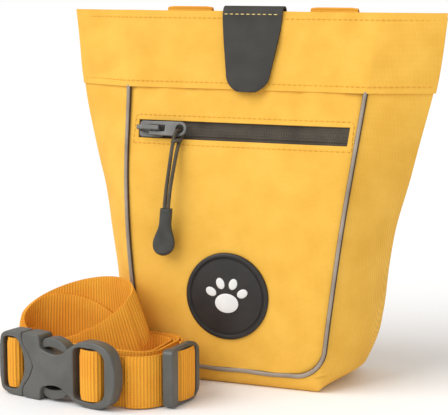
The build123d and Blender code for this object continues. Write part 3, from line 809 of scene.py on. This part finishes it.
def mirrored(upper):
    """The upper half of an outline and its mirror image below."""
    return upper + [(x, -y, radius) for x, y, radius in reversed(upper)]


def solid(name, corners, half_depth, place):
    """An upright solid with a rounded outline, set out by a placing function."""
    outline = rounded(corners)
    count = len(outline)
    points = [place(p.x, p.y, side * half_depth) for side in (-1, 1) for p in outline]
    faces = [(i, (i + 1) % count, count + (i + 1) % count, count + i) for i in range(count)]
    return new_piece(name, points, faces + end_caps(0, count, count))


def cut(piece, other, operation="DIFFERENCE"):
    """Takes another mesh out of a piece, or adds it, and drops the other."""
    tool = piece.modifiers.new("cut", "BOOLEAN")
    tool.operation = operation
    tool.solver = "EXACT"
    tool.object = other
    bake_modifiers(piece)
    bpy.data.objects.remove(other)


def plate_place(middle, turn, thin=(0, 1e9), share=1.0):
    """Placing function of a plate that stands on edge, thinner beyond a stretch of its length."""
    def place(along, up, out):
        kept = 1 - (1 - share) * ease((along - thin[0]) / (thin[1] - thin[0]))
        return on_plate(middle, turn, along, out * kept) + Vector((0, 0, up))
    return place


def plate(node, body, windows, half_depth, place, adds=(), voxel=0.34, rounds=14):
    """Moulded plate: an outline with windows, thicker parts added, and every edge rounded."""
    piece = solid(f"{node}_moulded", body, half_depth, place)
    for outline, depth in adds:
        cut(piece, solid("addition", outline, depth, place), "UNION")
    for outline in windows:
        cut(piece, solid("window", outline, THROUGH, place))
    return mould_edges(piece, node, voxel, rounds)


BUCKLE_MIDDLE = Vector((-66, -90, 16.5))
BUCKLE_TURN = radians(-11.3)
GLIDE_MIDDLE = Vector((-9.9, -70, 14.75))
GLIDE_TURN = radians(83)


def on_plate(middle, turn, along, out):
    """Point beside a plate that stands on edge, turned about the vertical."""
    x = along * cos(turn) + out * sin(turn)
    y = along * sin(turn) - out * cos(turn)
    return middle + Vector((x, y, 0))


FEMALE_BODY = [
    (-13.4, 0.0, 3), (-15.6, 5.5, 3), (-20.4, 11.6, 3), (-20.4, 16.3, 1.5), (-9.4, 16.3, 1.5),
    (-8.8, 9.8, 2), (-3.0, 7.9, 4), (4.0, 8.0, 4), (9.5, 13.0, 4), (15.0, 16.2, 5), (25.5, 16.3, 6),
    (33.0, 13.0, 7), (35.7, 4.0, 7),
]
FEMALE_WINDOW = [(11.2, 0, 0), (11.2, 12.0, 2), (14.0, 13.2, 2), (24.5, 13.2, 3.5), (29.4, 10.0, 4)]
MALE_BODY = [
    (-13.8, 0.0, 3), (-16.0, 5.5, 3), (-20.9, 11.8, 3), (-20.9, 16.3, 1.5), (-30.0, 16.3, 4),
    (-34.6, 14.0, 4), (-35.7, 7.0, 6),
]
MALE_WINDOW = [(-33.0, 0, 0), (-33.0, 12.4, 2), (-30.5, 13.2, 2), (-24.0, 13.2, 3), (-19.6, 5.0, 5)]
GLIDE_BODY = [
    (-14, 14.4, 3.5), (9.0, 14.75, 4), (14, 11.0, 5), (14, -11.0, 5), (9.0, -14.75, 4), (-14, -14.4, 3.5),
]
GLIDE_WINDOW = [(-8.0, 12.4, 2.2), (11.0, 12.4, 3), (11.0, -12.4, 3), (-8.0, -12.4, 2.2)]
GLIDE_BAR = [(-14, 14.2, 3), (-8.0, 14.2, 2), (-8.0, -14.2, 2), (-14, -14.2, 3)]


def add_bar(piece, place, start, end, reach, half_depth):
    """Adds a bar across the window of a plate."""
    outline = [(start, reach, 0.8), (end, reach, 0.8), (end, -reach, 0.8), (start, -reach, 0.8)]
    cut(piece, solid("bar", outline, half_depth, place), "UNION")
    smooth(piece, 50)


def make_buckle():
    """Both halves of the buckle; a bar across each window carries the webbing."""
    place = plate_place(BUCKLE_MIDDLE, BUCKLE_TURN, (2, 16), 0.66)
    female = plate("buckle_female", mirrored(FEMALE_BODY), [mirrored(FEMALE_WINDOW)], 5.4, place)
    male = plate("buckle_male", mirrored(MALE_BODY), [mirrored(MALE_WINDOW)], 4.9, place)
    add_bar(female, place, 15.5, 24.5, 14.2, 2.0)
    add_bar(male, place, -30.2, -24.8, 14.2, 2.0)


ARM_BODY = [
    (-18.2, 8.4, 1), (-18.4, 11.2, 1.5), (-9.4, 12.0, 1), (-7.6, 14.6, 2), (-2.0, 15.6, 4), (4.5, 13.6, 4),
    (8.4, 9.4, 2.5), (6.4, 8.2, 1), (1.0, 10.4, 4), (-5.0, 11.0, 4), (-10.0, 8.9, 2),
]


def make_arms():
    """Sprung latch arms of the male half, whose crescent ends fill the notches."""
    place = plate_place(BUCKLE_MIDDLE, BUCKLE_TURN)
    for word, sign in (("upper", 1), ("lower", -1)):
        body = [(x, sign * y, radius) for x, y, radius in ARM_BODY]
        plate(f"buckle_arm_{word}", body, [], 3.3, place, voxel=0.26, rounds=10)


def make_glide():
    """Adjuster with one thick bar, a thin far rail and a bar across its window."""
    place = plate_place(GLIDE_MIDDLE, GLIDE_TURN)
    piece = plate("tri_glide", GLIDE_BODY, [GLIDE_WINDOW], 1.9, place, adds=[(GLIDE_BAR, 2.9)])
    add_bar(piece, place, 0.8, 4.8, 13.0, 1.4)


make_buckle()
make_glide()
make_arms()
moulded("zip_slider_body", 0.18, 12)
moulded("zip_pull_tab", 0.16, 9)

# ---- pull cord and grip
CORD = 1.9
EYE_X = -31.2
GRIP_X = -33.6
GRIP_TOP = 90.2
GRIP_LENGTH = 24.4
GRIP_DEPTH = -37.7
GRIP_THICKNESS = 4.4
GRIP_SIDES = 40
STRAND = 1.05
NECK_HALF = 3.15
BULB_HALF = 5.95
cord_route = [
    Vector((GRIP_X - STRAND + 1.0, GRIP_DEPTH, GRIP_TOP)),
    Vector((GRIP_X - STRAND + 1.2, -36.6, 98)),
    Vector((GRIP_X - STRAND + 1.2, -32.4, 109)),
    on_zip(EYE_X - 2.4, -8.0, 5.4),
    on_zip(EYE_X - 1.1, -0.8, 6.1),
    on_zip(EYE_X + 0.2, -0.8, 1.1),
    on_zip(EYE_X + 0.6, -4.4, 1.3),
    on_zip(EYE_X - 0.1, -7.8, 3.5),
    Vector((GRIP_X + STRAND + 1.4, -32.2, 109)),
    Vector((GRIP_X + STRAND + 1.2, -36.6, 98)),
    Vector((GRIP_X + STRAND + 1.0, GRIP_DEPTH, GRIP_TOP)),
]


def make_grip():
    """Moulded grip: a neck that swells into a round end."""
    foot = GRIP_TOP - GRIP_LENGTH
    bulb = foot + BULB_HALF
    points = []
    heights = [bulb - BULB_HALF * cos(a) for a in steps(0.12, pi / 2, 20)]
    heights += steps(bulb, GRIP_TOP, 44)[1:]
    for height in heights:
        if height < bulb:
            half = sqrt(max(0.0, BULB_HALF**2 - (bulb - height) ** 2))
        else:
            half = BULB_HALF + (NECK_HALF - BULB_HALF) * ease((height - bulb) / 11)
        end = min(1.0, 0.35 + (height - foot) / 2.2, 0.55 + (GRIP_TOP - height) / 1.2)
        for turn in circle(GRIP_SIDES):
            x = half * squarer(cos(turn), 0.75)
            y = GRIP_THICKNESS / 2 * end * squarer(sin(turn), 0.75)
            lean = 0.09 * (height - (GRIP_TOP - 12))
            points.append(Vector((GRIP_X + lean + x, GRIP_DEPTH + y, height)))
    faces = grid_faces(len(heights), GRIP_SIDES, closed=True)
    faces += end_caps(0, len(points) - GRIP_SIDES, GRIP_SIDES)
    piece = new_piece("grip_moulded", points, faces)
    stands_for(piece, "pull_grip")
    return piece


def make_cord(*with_pieces):
    """The loop of cord, hitched through the eye of the pull tab."""
    data = bpy.data.curves.new("cord_loop", "CURVE")
    data.dimensions = "3D"
    data.bevel_depth = CORD / 2 * MM
    data.bevel_resolution = 4
    data.resolution_u = 16
    data.use_fill_caps = True
    line = data.splines.new("NURBS")
    line.points.add(len(cord_route) - 1)
    for place, point in zip(line.points, cord_route):
        place.co = (*(point * MM), 1)
    line.order_u = 3
    line.use_endpoint_u = True
    piece = add_object("cord_loop", data)
    stands_for(piece, "pull_cord")


def make_hitch():
    """Turn of cord round both strands, just under the eye."""
    route = []
    for a in steps(0, tau, 33):
        route.append(on_zip(EYE_X - 0.9 + 2.1 * cos(a), -6.2 + 0.7 * cos(a + 0.6), 4.0 + 1.9 * sin(a)))
    points, faces = tube(route, 0.9, 12)
    piece = new_piece("cord_hitch", points, faces, sharp=80)
    piece.data.materials.append(MATERIALS["cord"])
    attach(piece, "zip_pull")
    return piece


make_cord(make_grip(), make_hitch())


# ---- opening tab
TAB_MIDDLE = 2.6
TAB_HALF = 16.0
TAB_FOOT_HALF = 9.5
TAB_FOOT = 148.6
TAB_CORNER = 8.0
TAB_RUBBER = 1.3
TAB_LINE = [
    (-2.3, 178), (-2.4, 187), (-3.6, 190.2), (-7.0, 190.4), (-8.7, 187.6), (-9.5, 181), (-13.4, 165),
    (-17.9, 148.6),
]
TAB_HINGE = 184.7
TAB_COLUMNS = 25
TAB_BEHIND = 80  # points of the tab's line before it reaches the front


def tab_half_width(height, behind):
    """Half width of the tab: full over the rim, tapering to a rounded foot."""
    if behind or height > TAB_HINGE:
        return TAB_HALF
    share = ease((TAB_HINGE - height) / (TAB_HINGE - TAB_FOOT)) * 0.35
    share += 0.65 * (TAB_HINGE - height) / (TAB_HINGE - TAB_FOOT)
    half = TAB_HALF + (TAB_FOOT_HALF + 1.2 - TAB_HALF) * share
    drop = TAB_FOOT + TAB_CORNER - height
    return half if drop <= 0 else half - TAB_CORNER + sqrt(max(6.0, TAB_CORNER**2 - drop**2))


def make_tab():
    """Rubber tab sewn over the rim, whose lower end stands off the pouch."""
    line = spread(curved([Vector((0, y, z)) for y, z in TAB_LINE]), 0.2)
    points = []
    for i, place in enumerate(line):
        half = tab_half_width(place.z, i < TAB_BEHIND)
        for u in steps(-1, 1, TAB_COLUMNS):
            lift = 0.9 * u * u * ease((175 - place.z) / 25)
            points.append(Vector((TAB_MIDDLE + u * half, place.y + lift, place.z)))
    piece = new_piece("rubber_tab", points, grid_faces(len(line), TAB_COLUMNS))
    thicken(piece, TAB_RUBBER)
    stands_for(piece, "opening_tab", "tab_saddle", ride=False)
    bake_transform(piece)


make_tab()

# ---- badge
BADGE = (-1.0, 46.6)
BADGE_FACE = 33.05
BADGE_TURNS = 96
PAD_SIDES = 40
BADGE_PROFILE = [
    (0.4, 1.30), (18.6, 1.30), (19.0, 1.22), (19.2, 0.85), (19.7, 0.85), (19.9, 1.25),
    (20.3, 1.72), (20.9, 1.80), (21.5, 1.72), (22.0, 1.40), (22.25, 0.9), (22.25, 0.3), (22.0, 0.0),
]
PAW = [(0, -3.5, 6.4, 5.0, 0)]
PAW += [(9.6 * cos(radians(a)), -2.5 + 9.6 * sin(radians(a)), 2.2, 3.0, a - 90) for a in (152, 111, 69, 28)]


def make_badge():
    """Round rubber badge with a raised rim and a groove inside it."""
    points = []
    for radius, out in BADGE_PROFILE:
        for turn in circle(BADGE_TURNS):
            x, z = BADGE[0] + radius * cos(turn), BADGE[1] + radius * sin(turn)
            points.append(Vector((x, -BADGE_FACE - out, z)))
    faces = grid_faces(len(BADGE_PROFILE), BADGE_TURNS, closed=True)
    faces += end_caps(0, len(points) - BADGE_TURNS, BADGE_TURNS)
    stands_for(new_piece("badge_moulded", points, faces), "badge_base")


def make_paw():
    """Generic paw print, each pad a low dome."""
    points, faces = [], []
    for x, z, half_width, half_height, turn in PAW:
        start = len(points)
        rings = [(1.0, 1.2), (0.97, 1.5), (0.85, 1.68), (0.6, 1.76), (0.3, 1.79)]
        for scale, out in rings:
            for a in circle(PAD_SIDES):
                flat = Vector((scale * half_width * cos(a), scale * half_height * sin(a)))
                c, s = cos(radians(turn)), sin(radians(turn))
                px = BADGE[0] + x + flat.x * c - flat.y * s
                pz = BADGE[1] + z + flat.x * s + flat.y * c
                points.append(Vector((px, -BADGE_FACE - out, pz)))
        faces += grid_faces(len(rings), PAD_SIDES, start, closed=True)
        faces += end_caps(start, len(points) - PAD_SIDES, PAD_SIDES)
    stands_for(new_piece("paw_print", points, faces), "badge_emblem")


make_badge()
make_paw()

# ---- belt loops behind
WIDTH = 25.0
BELT_STEP = 0.3
LOOP_OFFSET = 39.8
LOOP_WEBBING = 1.5
WEBBING = 1.6
UP = Vector((0, 0, 1))
LOOP_LINE = [
    (11.4, 171), (8.7, 184), (10.8, 189.7), (15.1, 181), (21.8, 155), (28.3, 130), (29.2, 117),
    (28.2, 106), (29.4, 96),
]


def make_belt_loop(word, offset):
    """Webbing that rises behind the back collar and turns down at its rim to the back panel."""
    line = spread(curved([Vector((offset, y, z)) for y, z in LOOP_LINE]), BELT_STEP)
    ups = [Vector((1, 0, 0))] * len(line)
    loop = webbing(f"loop_webbing_{word}", line, ups, WIDTH, LOOP_WEBBING)
    stands_for(loop, f"belt_loop_{word}")
    loop_length = run_length(line)


make_belt_loop("left", -LOOP_OFFSET)
make_belt_loop("right", LOOP_OFFSET)

# ---- belt
COIL_OUTER = [(-92.5, -59, 16.6), (-32, -70.5, 13.2), (-32.5, -52, 13.7), (-92, -50.5, 16.8)]
COIL_INNER = [(-92.5, -58.5, 11.2), (-33, -69.5, 8.4), (-33.5, -53, 8.9), (-92, -50.5, 11.4)]
COIL_MIDDLE = Vector((-66, -58, 0))
COIL_TURNS = 3.05
RISE_TURNS = 0.4
LOOP_TURNS = 1.5
TURN_MIDDLE = Vector((-76.5, -52.5, 40.8))
TURN_HALF = (30.0, 15.5)
TURN_SLOPE = (0.23, 0.63)


def hull_reach(circles, angle):
    """Distance from the coil's middle to a band stretched round the circles."""
    ray = Vector((cos(angle), sin(angle)))
    best = 1e9
    for around in circle(180):
        normal = Vector((cos(around), sin(around)))
        facing = normal.dot(ray)
        if facing > 0.02:
            support = max(normal.dot(Vector((x, y)) - COIL_MIDDLE.xy) + r for x, y, r in circles)
            best = min(best, support / facing)
    return best


def coil_rim(turns):
    """Top edge of the low coil after some turns, counted inwards."""
    angle = tau * turns
    share = min(turns / COIL_TURNS, 1.0)
    reach = hull_reach(COIL_OUTER, angle)
    reach += share * (hull_reach(COIL_INNER, angle) - reach)
    lift = 0.6 + 0.6 * sin(turns * 2.1)
    return COIL_MIDDLE + Vector((reach * cos(angle), reach * sin(angle), WIDTH + lift))


def raised_rim(turns):
    """Top edge of the tilted turn that stands above the coil, and its direction of hang."""
    angle = tau * turns
    wider = 1.0 + 0.035 * (turns - COIL_TURNS - RISE_TURNS)
    x, y = TURN_HALF[0] * wider * cos(angle), TURN_HALF[1] * wider * sin(angle)
    sag = 5.0 * max(0.0, -sin(angle)) ** 2
    place = TURN_MIDDLE + Vector((x, y, TURN_SLOPE[0] * x + TURN_SLOPE[1] * y - sag))
    lean = 0.42 * max(0.0, cos(angle)) ** 2 - 0.10 * max(0.0, -cos(angle)) ** 2
    return place, Vector((-lean, 0, 1)).normalized()


def belt_lines():
    """Middle line of the belt and its across direction, from the buckle round to the raised turn."""
    lead = [(-46.5, -91.2), (-38, -89.6), (-28, -88.4), (-19.6, -82.3), (-15.3, -70), (-15.0, -61)]
    smooth_lead = curved([Vector((x, y, WIDTH / 2 + 0.4)) for x, y in lead], 20)
    line = [(place, UP) for place in smooth_lead]
    whole = COIL_TURNS + RISE_TURNS + LOOP_TURNS
    for turns in steps(0.02, whole, 900):
        low, (high, up) = coil_rim(turns), raised_rim(turns)
        share = ease((turns - COIL_TURNS) / RISE_TURNS)
        rim = low.lerp(high, share)
        up = UP.lerp(up, share).normalized()
        line.append((rim - up * WIDTH / 2, up))
    return line


def make_belt():
    """One length of webbing: round the adjuster's strap, through the coil and the raised turn."""
    line = belt_lines()
    route = spread([place for place, _ in line], BELT_STEP)
    ups, k = [], 0
    for place in route:
        while k < len(line) - 2 and (line[k + 1][0] - place).length < (line[k][0] - place).length:
            k += 1
        ups.append(line[k][1])
    piece = webbing("belt_webbing", route, ups, WIDTH, WEBBING)
    stands_for(piece, "webbing_coil", "webbing_top_turn", "adjuster_strap")
    return piece, run_length(route)


# ---- webbing round the bars
WRAP_POINTS = 160


def make_wrap(name, node, middle, turn, span, half_depth, bulge):
    """Webbing folded round a bar, bulging at the front."""
    centre = sum(span) / 2
    half = (span[1] - span[0]) / 2 - WEBBING / 2
    route = []
    for a in circle(WRAP_POINTS):
        along = centre + half * squarer(cos(a), 0.8)
        out = half_depth * squarer(sin(a), 0.8)
        route.append(on_plate(middle, turn, along, out + bulge * max(0.0, sin(a))))
    piece = webbing(name, route, [UP] * len(route), WIDTH, WEBBING, closed=True)
    stands_for(piece, node)
    return piece


BUCKLE_AT = (BUCKLE_MIDDLE, BUCKLE_TURN)
female_wrap = make_wrap("wrap_female", "webbing_wrap_female", *BUCKLE_AT, (13.6, 26.4), 3.4, 0.8)
male_wrap = make_wrap("wrap_male", "webbing_wrap_male", *BUCKLE_AT, (-32.1, -22.9), 3.4, 0.8)
glide_wrap = make_wrap("wrap_glide", "webbing_tail", GLIDE_MIDDLE, GLIDE_TURN, (-6.6, 9.6), 2.2, 0.6)


def short_webbing(name, corners, rise, width):
    """An extra length of webbing on edge, its middle that far above half the belt's width."""
    line = spread(curved([Vector((x, y, WIDTH / 2 + rise)) for x, y in corners]), BELT_STEP)
    piece = webbing(name, line, [UP] * len(line), width, WEBBING)
    piece.data.materials.append(MATERIALS["webbing"])
    return piece, line


def make_male_link():
    """Webbing from the back of the male half round to the outside of the coil."""
    corners = [(-95.5, -81.2), (-100.5, -79.4), (-105.6, -75.0), (-109, -68), (-109.9, -59)]
    piece, line = short_webbing("belt_link_male", corners, 0.8, WIDTH)
    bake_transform(piece)
    return piece


def make_hem():
    """Doubled end of the strap, sewn down between the buckle and the adjuster."""
    corners = [(-30.2, -90.6), (-26.5, -90.2), (-20.6, -87.2), (-16.6, -81.4), (-14.4, -75)]
    piece, line = short_webbing("belt_hem", corners, 0.9, WIDTH + 0.6)
    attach(piece, "belt")
    return piece, line


belt_hem, hem_line = make_hem()
belt, belt_length = make_belt()
male_link = make_male_link()


# ---- stitching
STITCH_STEP = 0.25
THREAD_SIDES = 6


def stitches(name, line, body, material, length=2.2, gap=0.9, radius=0.34):
    """A row of stitches along a line, each a short rounded thread."""
    places = spread(line, STITCH_STEP)
    per, rest = int(length / STITCH_STEP), int(gap / STITCH_STEP)
    points, faces = [], []
    for first in range(0, len(places) - per, per + rest):
        path = places[first : first + per + 1]
        start = len(points)
        rings = steps(0, 1, 5)
        direction, across = cross_frames(path)[0]
        other = direction.cross(across)
        for t in rings:
            centre = path[0].lerp(path[-1], t)
            size = radius * (0.45 + 0.55 * sin(pi * t))
            for a in circle(THREAD_SIDES):
                points.append(centre + size * (cos(a) * across + sin(a) * other))
        faces += grid_faces(len(rings), THREAD_SIDES, start, closed=True)
        faces += end_caps(start, len(points) - THREAD_SIDES, THREAD_SIDES)
    piece = new_piece(name, points, faces, sharp=80)
    piece.data.materials.append(material)
    if body:
        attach(piece, body)
    return piece


def collar_line(height, side_y, side_x):
    """Line on the collar's outer face at one height."""
    arc = collar_arc(height, -COLLAR_PROUD - CLOTH / 2, side_y, side_x)[3:]
    return [creased(p, side_y) for p in arc]


for side_x, word in ((-1, "left"), (1, "right")):
    for drop, place in ((FRONT_RIM - 3.6, "rim"), (SEAM + 2.6, "hem")):
        row = stitches(f"front_{place}_stitch_{word}", collar_line(drop, -1, side_x), None, THREAD_WITH_PAINTED_SHADE)
        follow_mouth(row)
        stitches(f"back_{place}_stitch_{word}", collar_line(drop, 1, side_x), "pouch", THREAD_WITH_PAINTED_SHADE)

frame_top, frame_foot = window_top + 2.6, window_foot - 2.6
corners = [(-58.3, frame_foot), (-58.3, frame_top), (59.6, frame_top), (59.6, frame_foot)]
corners.append(corners[0])
outline = []
for (x0, z0), (x1, z1) in zip(corners, corners[1:]):
    for t in steps(0, 1, 60):
        x, z = x0 + (x1 - x0) * t, z0 + (z1 - z0) * t
        outline.append(Vector((x, -panel_depth(x / panel_edge(z), z) - CLOTH / 2, z)))
stitches("zip_frame_stitch", outline, "pouch", THREAD_WITH_PAINTED_SHADE)

tab_stitch = [Vector((x, -9.6, 187.2)) for x in steps(TAB_MIDDLE - 15, TAB_MIDDLE + 15, 30)]
stitches("tab_stitch", tab_stitch, "front_collar", PALE_THREAD, 2.0, 1.0, 0.3)

hem_face = []
for x, z in ((0.06, 0.1), (0.06, 0.9), (0.94, 0.9), (0.94, 0.1)):
    place = hem_line[round(x * (len(hem_line) - 1))]
    hem_face.append(Vector((place.x, place.y - WEBBING / 2 - 0.25, z * WIDTH + 0.4)))
stitches("hem_stitch", hem_face[:2], "belt", THREAD_WITH_PAINTED_SHADE)
stitches("hem_stitch_end", hem_face[2:4], "belt", THREAD_WITH_PAINTED_SHADE)

# ---- floor and light
FLOOR_SIZE = 6.0  # in metres
FLOOR_HEIGHT = -0.2
SUN_POWER = 2.1
SUN_WIDTH = 50  # degrees of sky that the sun fills
FILL_POWER = 1.5
SKY_LIGHT = 0.62


def make_floor():
    """Plain pale floor that the pouch stands on."""
    half = FLOOR_SIZE / 2 / MM
    corners = [(-half, -half), (half, -half), (half, half), (-half, half)]
    floor = new_piece("floor", [(x, y, FLOOR_HEIGHT) for x, y in corners], [(0, 1, 2, 3)])
    material, _, _, base = shader("floor", 0.9)
    base.inputs["Base Color"].default_value = (0.98, 0.98, 0.98, 1)
    floor.data.materials.append(material)


def make_light(name, kind, power, aim, place=(0, 0, 0)):
    """A light that shines in one direction."""
    data = bpy.data.lights.new(name, kind)
    data.energy = power
    light = add_object(name, data)
    light.location = place
    light.rotation_euler = aim.to_track_quat("-Z", "Y").to_euler()
    return data


def make_lights():
    """A broad sun from the upper left, in front, and a soft square light aimed at the pouch."""
    make_light("key", "SUN", SUN_POWER, Vector((0.62, 0.75, -0.85))).angle = radians(SUN_WIDTH)
    place = Vector((0.9, -0.9, 0.5))
    make_light("fill", "AREA", FILL_POWER, Vector((0, 0, 0.09)) - place, place).size = 1.0


def make_world():
    """Even pale surroundings, white behind the floor."""
    world = bpy.data.worlds.new("studio")
    world.use_nodes = True
    nodes, links = world.node_tree.nodes, world.node_tree.links
    seen = set_inputs(nodes.new("ShaderNodeBackground"), {"Color": (1, 1, 1, 1)})
    set_inputs(nodes["Background"], {"Color": (1, 1, 1, 1), "Strength": SKY_LIGHT})
    mix = nodes.new("ShaderNodeMixShader")
    links.new(nodes.new("ShaderNodeLightPath").outputs["Is Camera Ray"], mix.inputs[0])
    links.new(nodes["Background"].outputs[0], mix.inputs[1])
    links.new(seen.outputs[0], mix.inputs[2])
    links.new(mix.outputs[0], nodes["World Output"].inputs["Surface"])
    bpy.context.scene.world = world


make_floor()
make_lights()
make_world()
